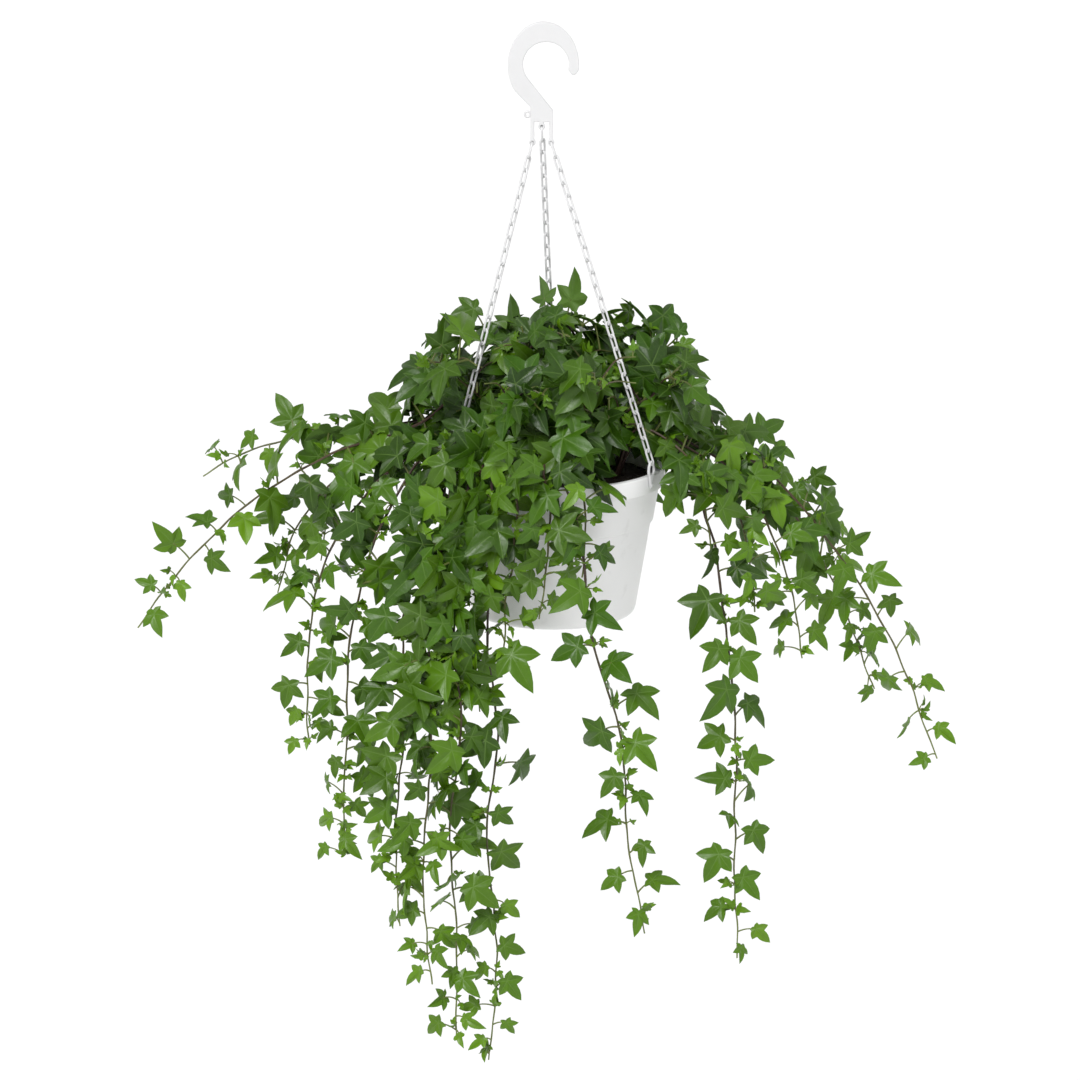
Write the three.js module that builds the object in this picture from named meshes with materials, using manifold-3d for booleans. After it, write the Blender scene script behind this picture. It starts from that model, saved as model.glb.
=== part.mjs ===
// A hanging potted ivy: a tapered plastic pot on three chains and a hook, with trailing vines.
// Millimetres, +Z up, +X right, the front towards -Y. The origin is the seat inside the hook's bow.

import * as THREE from 'three';
import * as BufferGeometryUtils from 'three/addons/utils/BufferGeometryUtils.js';
import Module from 'manifold-3d';

const wasm = await Module();
wasm.setup();

// Gap kept between pieces that rest on each other.
const GAP = 0.3;

// Hanger.
const HANGER_DROP = 377;
const POT_SHIFT = 9;

// Pot. Heights in the pot's frame are measured from the top of the rim.
const RIM_RADIUS = 100;
const RIM_BAND = 16;
const RIM_OVERHANG = 3.5;
const POT_HEIGHT = 136;
const BASE_RADIUS = 74;
const BASE_CORNER = 8;
const WALL = 2.4;
const STEP_DEPTH = 50;
const STEP_SIZE = 1;
const POT_SIDES = 32;

// Soil.
const SOIL_DEPTH = 14;
const SOIL_CROWN = 6;

// Hook.
const HOOK_THICKNESS = 6;
const BOW_RADIUS = 20;
const BOW_STRAP_SIDE = 13.5;
const BOW_STRAP_TOP = 17.5;
const BOW_HEIGHT = 38;
const HOOK_TIP_WIDTH = 9;
const HOOK_TIP_ROUND = 5;
const FOOT_WIDTH = 20;
const FOOT_SHIFT = -1.5;
const FOOT_CORNER = 3;
const FOOT_TOP = 60;
const FOOT_SOLID = 10;
const FOOT_BOTTOM = 91;
const MIDDLE_LEG_BOTTOM = 77;
const FOOT_LEG = 3.5;
const BOW_STEPS = 12;
const TAB_RADIUS = 3.5;
const TAB_HOLE = 1.4;
const TAB_THICKNESS = 3;

// Chain links.
const LINK_LENGTH = 16;
const LINK_WIDTH = 7;
const LINK_WIRE = 2;
const LINK_OVERLAP = 0.4;
const FOOT_CLEARANCE = 2;

// Rim clips, by their bearing around the pot.
const CLIP_BEARINGS = { right: -32, left: -151, back: 89 };
const CLIP_WIDTH = 10;
const CLIP_LOOP = 14;
const CLIP_TONGUE = 12;
const CLIP_THICKNESS = 2;

// Stems.
const STEM_RADIUS = 1.4;
const STEM_SIDES = 4;
const STEM_STEP = 46;
const ROOT_INSET = 42;
const SHOULDER_INSET = 18;
const SHOOT_RING_GAP = 12;
const RIM_CLEARANCE = 20;
const HANG_STEP = 90;
const SWAY = 6;
const SWAY_LENGTH = 210;
const LIGHT_FROM_FRONT = 0.9;

// Leaves.
const LEAF_THICKNESS = 0.9;
const LEAF_LARGE = 42;
const LEAF_SMALL = 24;
const LEAF_SPACING = 76;
const PETIOLE_RADIUS = 0.8;
const PETIOLE_LENGTH = 20;
const PETIOLE_TUCK = 4;

// A leaf turns round its stem, and then grows smaller, until it has room.
const TURNS = [0, 35, -35, 70, -70, 110];
const SHRINKS = [1, 0.8, 0.62];

// Half of a leaf's outline, from the notch to the tip, for a leaf one unit long.
const LEAF_HALF = [[0.27, -0.14], [0.5, 0.27], [0.2, 0.42]];

// How a vine grows: how high it rises over the rim first, and how soon it reaches out (1 is a
// straight slant, and more hangs down sooner).
const HABITS = {
  reaching: { rise: 60, spread: 1.2 },
  arching: { rise: 40, spread: 1.8 },
  hanging: { rise: 30, spread: 3 },
};

// Groups of trailing vines. A group's vines leave the rim at even steps from its first bearing, and
// their reach out from the rim and drop below it run evenly from the first vine's to the last's.
const VINE_GROUPS = [
  { name: 'left_fan', count: 4, first: 137, step: 13, reach: [75, 150], drop: [75, 125], habit: 'arching' },
  { name: 'left_low', count: 2, first: 190, step: 10, reach: [125, 100], drop: [250, 350], habit: 'hanging' },
  { name: 'front_left', count: 3, first: 218, step: 8, reach: [75, 50], drop: [400, 500], habit: 'hanging' },
  { name: 'inner_left', count: 3, first: 222, step: 8, reach: [50, 25], drop: [250, 200], habit: 'hanging' },
  { name: 'front', count: 3, first: 252, step: 14, reach: [25, 25], drop: [150, 75], habit: 'hanging' },
  { name: 'right_low', count: 3, first: 337, step: 8, reach: [50, 125], drop: [75, 175], habit: 'arching' },
  { name: 'right_far', count: 2, first: 0, step: 10, reach: [250, 200], drop: [275, 225], habit: 'reaching' },
  { name: 'right_top', count: 3, first: 20, step: 15, reach: [175, 100], drop: [125, 25], habit: 'arching' },
  { name: 'back', count: 4, first: 62, step: 18, reach: [50, 75], drop: [125, 200], habit: 'hanging' },
];

// Vines that stand apart from the groups. One of them sweeps round the pot as it falls.
const SINGLE_VINES = [
  { name: 'far_left', bearing: 182, reach: 275, drop: 150, habit: 'reaching' },
  { name: 'upper_left', bearing: 170, reach: 225, drop: 25, habit: 'reaching' },
  { name: 'front_bare', bearing: 244, reach: 25, drop: 525, habit: 'hanging' },
  { name: 'front_sweep', bearing: 273, reach: 50, drop: 400, habit: 'hanging', sweep: 30 },
  { name: 'right_single', bearing: 341, reach: 75, drop: 450, habit: 'hanging' },
];

// Crown shoots stand evenly in rings round the pot's axis, and every other one is lower.
const CROWN_RINGS = [
  { name: 'inner', count: 4, first: 45, lean: 40, height: 130 },
  { name: 'outer', count: 8, first: 22.5, lean: 120, height: 105 },
];
const CROWN_LOWER = 0.8;

// Sizes that follow from the driving ones.
const SOIL_TOP = -SOIL_DEPTH + SOIL_CROWN;
const BODY_TOP_RADIUS = RIM_RADIUS - RIM_OVERHANG;
const WALL_SLOPE = (BODY_TOP_RADIUS - BASE_RADIUS) / (POT_HEIGHT - RIM_BAND - BASE_CORNER);
const ROOT_RADIUS = RIM_RADIUS - ROOT_INSET;
const SHOULDER_RADIUS = RIM_RADIUS - SHOULDER_INSET;
const VINES = [...VINE_GROUPS.flatMap(groupVines), ...SINGLE_VINES];
const SHOOTS = CROWN_RINGS.flatMap(ringShoots);
const WIDEST_LEAN = Math.max(...CROWN_RINGS.map((ring) => ring.lean));
const ROOT_HEIGHT = SOIL_TOP + GAP + STEM_RADIUS;
const OVER_RADIUS = RIM_RADIUS + RIM_CLEARANCE;
const CLIP_RADIUS = RIM_RADIUS + GAP + CLIP_THICKNESS / 2;
const LINK_LIFT = GAP + LINK_WIRE / 2;
const LINK_PITCH = LINK_LENGTH - 2 * LINK_WIRE + LINK_OVERLAP;

const UP = new THREE.Vector3(0, 0, 1);

// ---- solids ----

function toSolid(geometry) {
  const bare = geometry.clone();
  bare.deleteAttribute('normal');
  bare.deleteAttribute('uv');
  const merged = BufferGeometryUtils.mergeVertices(bare);
  const mesh = new wasm.Mesh({
    numProp: 3,
    vertProperties: new Float32Array(merged.attributes.position.array),
    triVerts: new Uint32Array(merged.index.array),
  });
  return new wasm.Manifold(mesh);
}

function toGeometry(solid) {
  const mesh = solid.getMesh();
  const geometry = new THREE.BufferGeometry();
  geometry.setAttribute('position', new THREE.BufferAttribute(mesh.vertProperties, 3));
  geometry.setIndex(new THREE.BufferAttribute(mesh.triVerts, 1));
  geometry.computeVertexNormals();
  return geometry;
}

function joined(solids) {
  return solids.reduce((whole, solid) => whole.add(solid));
}

function polar(bearing, radius, height) {
  const angle = THREE.MathUtils.degToRad(bearing);
  return new THREE.Vector3(radius * Math.cos(angle), radius * Math.sin(angle), height);
}

// A flat plate of a shape, centred on its own thickness.
function plate(shape, thickness, curveSegments = 6) {
  const geometry = new THREE.ExtrudeGeometry(shape, {
    depth: thickness,
    bevelEnabled: false,
    curveSegments,
  });
  return geometry.translate(0, 0, -thickness / 2);
}

function outline(points) {
  return new THREE.Shape(points.map(([x, y]) => new THREE.Vector2(x, y)));
}

// ---- pot and soil ----

function wallRadius(depth) {
  return BODY_TOP_RADIUS - (depth - RIM_BAND) * WALL_SLOPE;
}

function turned(profile) {
  const points = profile.map(([radius, height]) => new THREE.Vector2(radius, height));
  return new THREE.LatheGeometry(points, POT_SIDES).rotateX(Math.PI / 2);
}

function potGeometry() {
  const stepTop = STEP_DEPTH - STEP_SIZE;
  return turned([
    [0, -POT_HEIGHT],
    [BASE_RADIUS - BASE_CORNER, -POT_HEIGHT],
    [BASE_RADIUS - BASE_CORNER * 0.3, -POT_HEIGHT + BASE_CORNER * 0.3],
    [BASE_RADIUS, -POT_HEIGHT + BASE_CORNER],
    [wallRadius(STEP_DEPTH) - STEP_SIZE, -STEP_DEPTH],
    [wallRadius(stepTop), -stepTop],
    [BODY_TOP_RADIUS, -RIM_BAND],
    [RIM_RADIUS, -RIM_BAND],
    [RIM_RADIUS, 0],
    [BODY_TOP_RADIUS - WALL, 0],
    [wallRadius(stepTop) - WALL - STEP_SIZE, -stepTop],
    [BASE_RADIUS - WALL - STEP_SIZE, -POT_HEIGHT + BASE_CORNER],
    [BASE_RADIUS - BASE_CORNER, -POT_HEIGHT + WALL],
    [0, -POT_HEIGHT + WALL],
  ]);
}

function innerRadius(depth) {
  const top = BODY_TOP_RADIUS - WALL;
  const stepTop = STEP_DEPTH - STEP_SIZE;
  const atStep = wallRadius(stepTop) - WALL - STEP_SIZE;
  return top + ((atStep - top) * depth) / stepTop;
}

function soilGeometry() {
  const clear = 2 * GAP;
  const stepTop = STEP_DEPTH - STEP_SIZE;
  return turned([
    [0, -POT_HEIGHT + WALL + clear],
    [BASE_RADIUS - BASE_CORNER - clear, -POT_HEIGHT + WALL + clear],
    [BASE_RADIUS - WALL - STEP_SIZE - clear, -POT_HEIGHT + BASE_CORNER],
    [innerRadius(stepTop) - clear, -stepTop],
    [innerRadius(SOIL_DEPTH) - clear, -SOIL_DEPTH],
    [ROOT_RADIUS + 2 * STEM_RADIUS, SOIL_TOP],
    [0, SOIL_TOP],
  ]);
}

// ---- hook ----

// The hook's plate, in its own X and Z, with the seat at zero. Its foot has three legs, and the
// middle one is shorter.
function hookSolid() {
  const left = FOOT_SHIFT - FOOT_WIDTH / 2;
  const right = left + FOOT_WIDTH;
  const inLeg = (FOOT_WIDTH - FOOT_LEG) / 2;
  const legTop = -FOOT_TOP - FOOT_SOLID;
  const outerWidth = BOW_RADIUS + (BOW_STRAP_SIDE + HOOK_TIP_WIDTH) / 2;
  const outerCentre = BOW_STRAP_TOP - BOW_HEIGHT;
  const innerCentre = (BOW_STRAP_SIDE - HOOK_TIP_WIDTH) / 2;
  const tip = THREE.MathUtils.degToRad(-5);
  const outerTip = [outerWidth * Math.cos(tip), outerCentre + BOW_HEIGHT * Math.sin(tip)];
  const shape = new THREE.Shape();
  shape.absellipse(0, outerCentre, outerWidth, BOW_HEIGHT, tip, THREE.MathUtils.degToRad(215));
  shape.lineTo(left, -FOOT_TOP + FOOT_CORNER);
  shape.lineTo(left, -FOOT_BOTTOM);
  shape.lineTo(left + FOOT_LEG, -FOOT_BOTTOM);
  shape.lineTo(left + FOOT_LEG, legTop);
  shape.lineTo(left + inLeg, legTop);
  shape.lineTo(left + inLeg, -MIDDLE_LEG_BOTTOM);
  shape.lineTo(right - inLeg, -MIDDLE_LEG_BOTTOM);
  shape.lineTo(right - inLeg, legTop);
  shape.lineTo(right - FOOT_LEG, legTop);
  shape.lineTo(right - FOOT_LEG, -FOOT_BOTTOM);
  shape.lineTo(right, -FOOT_BOTTOM);
  shape.lineTo(right, -FOOT_TOP);
  shape.absarc(
    innerCentre,
    -BOW_RADIUS,
    BOW_RADIUS,
    THREE.MathUtils.degToRad(218),
    THREE.MathUtils.degToRad(-12),
    true,
  );
  const middle = (innerCentre + BOW_RADIUS + outerWidth) / 2;
  shape.quadraticCurveTo(middle, outerTip[1] - 2 * HOOK_TIP_ROUND, ...outerTip);
  const hook = toSolid(plate(shape, HOOK_THICKNESS, BOW_STEPS).rotateX(Math.PI / 2));
  return hook.add(tabSolid(left));
}

// A small ring standing off the side of the foot.
function tabSolid(left) {
  const shape = new THREE.Shape();
  shape.absarc(0, 0, TAB_RADIUS, 0, 2 * Math.PI);
  const hole = new THREE.Path();
  hole.absarc(0, 0, TAB_HOLE, 0, 2 * Math.PI, true);
  shape.holes.push(hole);
  const ring = plate(shape, TAB_THICKNESS).rotateX(Math.PI / 2);
  const bite = (TAB_RADIUS - TAB_HOLE) / 2;
  return toSolid(ring.translate(left - TAB_RADIUS + bite, 0, -FOOT_TOP - TAB_RADIUS));
}

// ---- chains and clips ----

function ringShape(width, length, wire) {
  const w = width / 2;
  const l = length / 2;
  const shape = outline([[-w, -l], [w, -l], [w, l], [-w, l]]);
  shape.holes.push(outline([[-w + wire, -l + wire], [-w + wire, l - wire],
    [w - wire, l - wire], [w - wire, -l + wire]]));
  return shape;
}

// Links from one point towards another, each turned a quarter from the last.
function chainSolid(from, to) {
  const direction = to.clone().sub(from);
  const span = direction.length();
  direction.normalize();
  const count = Math.floor((span - LINK_LENGTH) / LINK_PITCH) + 1;
  const pitch = (span - LINK_LENGTH) / (count - 1);
  const length = pitch + 2 * LINK_WIRE - LINK_OVERLAP;
  const upright = new THREE.Quaternion().setFromUnitVectors(new THREE.Vector3(0, 1, 0), direction);
  const links = [];
  for (let i = 0; i < count; i += 1) {
    const centre = from.clone().addScaledVector(direction, LINK_LENGTH / 2 + i * pitch);
    const link = plate(ringShape(LINK_WIDTH, length, LINK_WIRE), LINK_WIRE);
    link.rotateY(Math.PI / 4 + (i % 2) * (Math.PI / 2));
    link.applyQuaternion(upright);
    link.translate(centre.x, centre.y, centre.z);
    links.push(toSolid(link));
  }
  return joined(links);
}

function clipSolid(bearing) {
  const loop = plate(ringShape(CLIP_WIDTH, CLIP_LOOP, CLIP_THICKNESS), CLIP_THICKNESS);
  loop.translate(0, CLIP_LOOP / 2 + GAP, 0);
  const tongue = new THREE.BoxGeometry(CLIP_WIDTH * 0.6, CLIP_TONGUE, CLIP_THICKNESS);
  tongue.translate(0, -CLIP_TONGUE / 2 + 2 * CLIP_THICKNESS - GAP, 0);
  const clip = joined([toSolid(loop), toSolid(tongue)]);
  const frame = new THREE.Matrix4().makeBasis(polar(bearing + 90, 1, 0), UP, polar(bearing, 1, 0));
  frame.setPosition(polar(bearing, CLIP_RADIUS, 0));
  return toSolid(toGeometry(clip).applyMatrix4(frame));
}

// ---- stems and leaves ----

function groupVines({ name, count, first, step, reach, drop, habit }) {
  return Array.from({ length: count }, (_, i) => ({
    name: `${name}_${i + 1}`,
    bearing: first + i * step,
    reach: THREE.MathUtils.lerp(...reach, i / (count - 1)),
    drop: THREE.MathUtils.lerp(...drop, i / (count - 1)),
    habit,
  }));
}

function ringShoots({ name, count, first, lean, height }) {
  return Array.from({ length: count }, (_, i) => ({
    name: `${name}_${i + 1}`,
    bearing: first + (i * 360) / count,
    lean,
    height: i % 2 ? height * CROWN_LOWER : height,
  }));
}

function vineCurve(vine) {
  const { bearing, reach, drop, habit, sweep = 0 } = vine;
  const { rise, spread } = HABITS[habit];
  const overHeight = rise * 0.6;
  const fall = 1 + 0.6 / spread;
  const points = [
    polar(bearing, ROOT_RADIUS, ROOT_HEIGHT),
    polar(bearing, SHOULDER_RADIUS, rise),
    polar(bearing, OVER_RADIUS, overHeight),
  ];
  const length = Math.hypot(reach - RIM_CLEARANCE, drop + overHeight);
  const steps = Math.max(4, Math.round(length / HANG_STEP));
  for (let i = 1; i <= steps; i += 1) {
    const s = i / steps;
    const point = polar(
      bearing + sweep * s,
      THREE.MathUtils.lerp(OVER_RADIUS, RIM_RADIUS + reach, 1 - (1 - s) ** spread),
      THREE.MathUtils.lerp(overHeight, -drop, s ** fall),
    );
    const sway = SWAY * Math.sin((s * length * 2 * Math.PI) / SWAY_LENGTH);
    points.push(point.add(polar(bearing + 90, sway, 0)));
  }
  return new THREE.CatmullRomCurve3(points, false, 'centripetal');
}

function shootCurve(shoot) {
  const rootRadius = ((ROOT_RADIUS - SHOOT_RING_GAP) * shoot.lean) / WIDEST_LEAN;
  return new THREE.CatmullRomCurve3([
    polar(shoot.bearing, rootRadius, ROOT_HEIGHT),
    polar(shoot.bearing, rootRadius + shoot.lean * 0.15, shoot.height * 0.55),
    polar(shoot.bearing, shoot.lean, shoot.height),
  ], false, 'centripetal');
}

function stemSteps(curve) {
  return Math.max(4, Math.round(curve.getLength() / STEM_STEP));
}

// The point on the stem's faceted centre line at a share of its length.
function pointOnStem(curve, share) {
  const steps = stemSteps(curve);
  const step = Math.min(Math.floor(share * steps), steps - 1);
  const start = curve.getPointAt(step / steps);
  return start.lerp(curve.getPointAt((step + 1) / steps), share * steps - step);
}

function stemSolid(curve) {
  const section = [];
  for (let i = 0; i < STEM_SIDES; i += 1) {
    const angle = (i * 2 * Math.PI) / STEM_SIDES;
    section.push([STEM_RADIUS * Math.cos(angle), STEM_RADIUS * Math.sin(angle)]);
  }
  const geometry = new THREE.ExtrudeGeometry(outline(section), {
    steps: stemSteps(curve),
    extrudePath: curve,
    bevelEnabled: false,
  });
  return toSolid(geometry);
}

function leafShape(size) {
  const right = LEAF_HALF.map(([x, y]) => [x * size, y * size]);
  const left = right.map(([x, y]) => [-x, y]).reverse();
  return outline([[0, 0], ...right, [0, size], ...left]);
}

// A leaf's blade and stalk. grow pads both, to test that there is room around them.
function leafSolids(foot, base, axis, face, size, grow) {
  const across = new THREE.Vector3().crossVectors(axis, face).normalize();
  const normal = new THREE.Vector3().crossVectors(across, axis).normalize();
  const frame = new THREE.Matrix4().makeBasis(across, axis, normal).setPosition(base);
  const blade = plate(leafShape(size + 4 * grow), LEAF_THICKNESS + 2 * grow);
  blade.translate(0, -2 * grow, 0).applyMatrix4(frame);
  const end = base.clone().addScaledVector(axis, PETIOLE_TUCK);
  const along = end.clone().sub(foot);
  const radius = PETIOLE_RADIUS + grow;
  const stalk = new THREE.CylinderGeometry(radius, radius, along.length(), 3, 1);
  stalk.applyQuaternion(new THREE.Quaternion().setFromUnitVectors(
    new THREE.Vector3(0, 1, 0),
    along.clone().normalize(),
  ));
  const middle = foot.clone().add(end).multiplyScalar(0.5);
  stalk.translate(middle.x, middle.y, middle.z);
  return [toSolid(blade), toSolid(stalk)];
}

const placed = [];

function remember(owner, solid) {
  const { min, max } = solid.boundingBox();
  placed.push({ owner, solid, min, max });
}

function isClear(owner, solid) {
  const { min, max } = solid.boundingBox();
  return placed.every((other) => {
    const apart = [0, 1, 2].some((i) => other.min[i] > max[i] || other.max[i] < min[i]);
    return other.owner === owner || apart || other.solid.intersect(solid).isEmpty();
  });
}

function growLeaf(owner, foot, tangent, side, face, size) {
  for (const shrink of SHRINKS) {
    for (const turn of TURNS) {
      const spin = new THREE.Quaternion().setFromAxisAngle(tangent, THREE.MathUtils.degToRad(turn));
      const lean = side.clone().applyQuaternion(spin);
      const length = size * shrink;
      const reach = lean.clone().multiplyScalar(0.8).addScaledVector(face, 0.45).addScaledVector(UP, 0.2);
      const base = foot.clone().addScaledVector(reach.normalize(), PETIOLE_LENGTH * shrink);
      const axis = lean.clone().multiplyScalar(0.55).addScaledVector(tangent, 0.25);
      axis.addScaledVector(UP, -0.5).addScaledVector(face, 0.15).normalize();
      const padded = leafSolids(foot, base, axis, face, length, GAP);
      if (padded.every((solid) => isClear(owner, solid))) {
        return leafSolids(foot, base, axis, face, length, 0);
      }
    }
  }
  return [];
}

// The way a leaf faces: outward and up, and round to the light where the stem is at the side.
function leafFace(foot) {
  const outward = new THREE.Vector3(foot.x, foot.y, 0).normalize();
  const front = LIGHT_FROM_FRONT * Math.abs(outward.x);
  return new THREE.Vector3(outward.x * 0.35, outward.y - front, 0.6).normalize();
}

function leafyStem(name, curve, stem, firstLeaf) {
  const count = Math.max(3, Math.round(curve.getLength() / LEAF_SPACING));
  const solids = [stem];
  for (let i = 0; i < count; i += 1) {
    const s = THREE.MathUtils.lerp(firstLeaf, 0.985, i / (count - 1));
    const foot = pointOnStem(curve, s);
    const tangent = curve.getTangentAt(s);
    const face = leafFace(foot);
    const side = new THREE.Vector3().crossVectors(tangent, face).normalize();
    side.multiplyScalar(i % 2 ? 1 : -1);
    const size = THREE.MathUtils.lerp(LEAF_LARGE, LEAF_SMALL, s ** 3);
    solids.push(...growLeaf(name, foot, tangent, side, face, size));
  }
  return joined(solids);
}

// ---- materials and assembly ----

const FINISHES = {
  potPlastic: { color: 0xe4e5e6, roughness: 0.42, metalness: 0 },
  hangerPlastic: { color: 0xeeeeef, roughness: 0.38, metalness: 0 },
  soil: { color: 0x2c2119, roughness: 0.95, metalness: 0 },
  ivy: { color: 0x3f7a2a, roughness: 0.5, metalness: 0 },
};

const plant = new THREE.Group();
plant.position.set(POT_SHIFT, 0, -HANGER_DROP);

function addPiece(name, geometry, finish) {
  const mesh = new THREE.Mesh(geometry, new THREE.MeshStandardMaterial(FINISHES[finish]));
  mesh.name = name;
  plant.add(mesh);
  remember(name, toSolid(geometry));
}

addPiece('pot', potGeometry(), 'potPlastic');
addPiece('soil', soilGeometry(), 'soil');
addPiece('hook', toGeometry(hookSolid()).translate(-POT_SHIFT, 0, HANGER_DROP), 'hangerPlastic');

const footMiddle = FOOT_SHIFT - POT_SHIFT;
const outerLeg = (FOOT_WIDTH - FOOT_LEG) / 2;
const legBottom = HANGER_DROP - FOOT_BOTTOM - FOOT_CLEARANCE;
const CHAIN_TOPS = {
  right: new THREE.Vector3(footMiddle + outerLeg, 0, legBottom),
  left: new THREE.Vector3(footMiddle - outerLeg, 0, legBottom),
  back: new THREE.Vector3(footMiddle, 0, HANGER_DROP - MIDDLE_LEG_BOTTOM - FOOT_CLEARANCE),
};

for (const [place, bearing] of Object.entries(CLIP_BEARINGS)) {
  addPiece(`rim_clip_${place}`, toGeometry(clipSolid(bearing)), 'hangerPlastic');
  const end = polar(bearing, CLIP_RADIUS, CLIP_LOOP + GAP + LINK_LIFT);
  const chain = chainSolid(end, CHAIN_TOPS[place]);
  addPiece(`chain_${place}`, toGeometry(chain), 'hangerPlastic');
}

const growing = [
  ...VINES.map((vine) => ({ name: `vine_${vine.name}`, curve: vineCurve(vine), firstLeaf: 0.12 })),
  ...SHOOTS.map((shoot) => ({ name: `shoot_${shoot.name}`, curve: shootCurve(shoot), firstLeaf: 0.45 })),
].map((stalk) => ({ ...stalk, stem: stemSolid(stalk.curve) }));

for (const { name, stem } of growing) {
  remember(name, stem);
}

for (const { name, curve, stem, firstLeaf } of growing) {
  const solid = leafyStem(name, curve, stem, firstLeaf);
  addPiece(name, toGeometry(solid), 'ivy');
}

export default plant;
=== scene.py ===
import math
import random

import bpy
import numpy as np
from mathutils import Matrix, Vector
from mathutils import noise as field_noise


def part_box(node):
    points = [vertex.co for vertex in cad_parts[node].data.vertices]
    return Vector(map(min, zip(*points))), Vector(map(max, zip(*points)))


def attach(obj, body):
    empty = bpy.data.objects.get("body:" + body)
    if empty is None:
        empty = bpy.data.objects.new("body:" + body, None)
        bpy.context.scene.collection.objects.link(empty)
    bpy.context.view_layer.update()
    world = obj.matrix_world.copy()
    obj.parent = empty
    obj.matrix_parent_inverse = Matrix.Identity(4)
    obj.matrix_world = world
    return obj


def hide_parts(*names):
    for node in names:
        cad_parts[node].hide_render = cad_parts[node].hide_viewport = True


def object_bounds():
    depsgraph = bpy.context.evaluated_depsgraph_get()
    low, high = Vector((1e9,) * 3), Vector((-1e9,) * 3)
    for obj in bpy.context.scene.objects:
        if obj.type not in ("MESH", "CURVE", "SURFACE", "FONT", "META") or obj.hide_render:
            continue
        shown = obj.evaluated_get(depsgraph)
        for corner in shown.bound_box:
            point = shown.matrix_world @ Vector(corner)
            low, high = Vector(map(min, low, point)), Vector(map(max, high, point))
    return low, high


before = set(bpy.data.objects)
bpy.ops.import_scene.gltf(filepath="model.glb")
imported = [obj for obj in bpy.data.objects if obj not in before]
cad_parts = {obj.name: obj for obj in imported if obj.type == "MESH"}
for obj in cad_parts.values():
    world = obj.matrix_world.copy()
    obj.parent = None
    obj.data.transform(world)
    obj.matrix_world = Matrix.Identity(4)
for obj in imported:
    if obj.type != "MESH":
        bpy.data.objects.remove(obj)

CAD_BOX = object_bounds()

# Without a seed the noise that bends the vines would differ from run to run.
NOISE_SEED = 1
field_noise.seed_set(NOISE_SEED)

# ---------------------------------------------------------------- sizes, in metres and degrees

POT_LOW, POT_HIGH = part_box("pot")
POT_CENTRE = np.array([(POT_LOW[0] + POT_HIGH[0]) / 2, (POT_LOW[1] + POT_HIGH[1]) / 2, POT_HIGH[2]])
RIM_RADIUS = (POT_HIGH[0] - POT_LOW[0]) / 2
POT_HEIGHT = POT_HIGH[2] - POT_LOW[2]
UP = np.array([0.0, 0.0, 1.0])

RIM_BAND = 0.016
RIM_OVERHANG = 0.0035
BASE_RADIUS = 0.074
BASE_CORNER = 0.008
WALL = 0.0024
STEP_DEPTH = 0.050
STEP_SIZE = 0.001
RING_STEP = 0.0018
BAND_UNDERCUT = 0.0012
POT_FLOOR = 0.0046
FOOT_RING = 0.002
SOIL_DEPTH = 0.014
SOIL_CROWN = 0.006
SOIL_LUMPS = 0.0016
POT_SIDES = 144
SOIL_SIDES = 96
CRUMBS = 260

HOOK_THICKNESS = 0.006
HOOK_EDGE = 0.0009
BOW_RADIUS = 0.020
BOW_STRAP_SIDE = 0.0135
BOW_STRAP_TOP = 0.0175
BOW_HEIGHT = 0.038
HOOK_TIP_WIDTH = 0.009
HOOK_TIP_ROUND = 0.005
FOOT_WIDTH = 0.020
FOOT_SHIFT = -0.0015
FOOT_CORNER = 0.003
FOOT_TOP = 0.060
FOOT_SOLID = 0.010
FOOT_BOTTOM = 0.091
MIDDLE_LEG_BOTTOM = 0.077
FOOT_LEG = 0.0035
LEG_EYE = 0.0029
LEG_HOLE = 0.0013
TAB_RADIUS = 0.0035
TAB_HOLE = 0.0014

LINK_LENGTH = 0.016
LINK_WIDTH = 0.007
LINK_WIRE = 0.002
END_LINK_LENGTH = 0.0165
END_LINK_WIDTH = 0.0108
CLIP_WIRE = 0.0028
OUTER_LEG = (FOOT_WIDTH - FOOT_LEG) / 2
# Each chain's bearing at the rim, and how far across and how low its leg of the hook ends.
CHAINS = {
    "left": (-151, FOOT_SHIFT - OUTER_LEG, FOOT_BOTTOM),
    "right": (-32, FOOT_SHIFT + OUTER_LEG, FOOT_BOTTOM),
    "back": (89, FOOT_SHIFT, MIDDLE_LEG_BOTTOM),
}
CLIP_WIDTH = 0.010
CLIP_LOOP = 0.014
CLIP_STANDOFF = 0.0014
TONGUE_LENGTH = 0.0135
TONGUE_WIDTHS = (0.0034, 0.0044, 0.0043, 0.0040, 0.0036, 0.0032, 0.0028, 0.0022, 0.0010)
TONGUE_FLATTENING = 0.68
EYELET_RADIUS = 0.0011
EYELET_WIRE = 0.00035

STEM_RADIUS = 0.0014
ROOT_INSET = 0.042
SHOULDER_INSET = 0.018
SHOOT_RING_GAP = 0.012
RIM_CLEARANCE = 0.020
HANG_STEP = 0.09
SWAY = 0.006
SWAY_LENGTH = 0.21
LEAF_PITCH = 0.0155
SPARSE_PITCH = 0.022
LEAF_LARGE = 0.031
SPROUT_LARGE = 0.013
PETIOLE = 0.020
CHAIN_KEEP_OFF = 0.015
CHAIN_BACK_MARGIN = 0.006
POT_KEEP_OFF = 0.003
FIRST_LEAF = 0.035
WANDER = 0.0022
WANDER_SCALE = 34
LEAF_SPREAD = (0.68, 1.25)
STALK_SPREAD = (0.6, 1.25)
PITCH_SPREAD = (0.75, 1.3)
PATH_SPACING = 0.006
SPROUT_SHARE = 0.45

# Over these heights above the rim the two front chains lie on top of the leaves.
CHAIN_SHOWS_OVER = {"right": 0.002, "left": 0.060}

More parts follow.
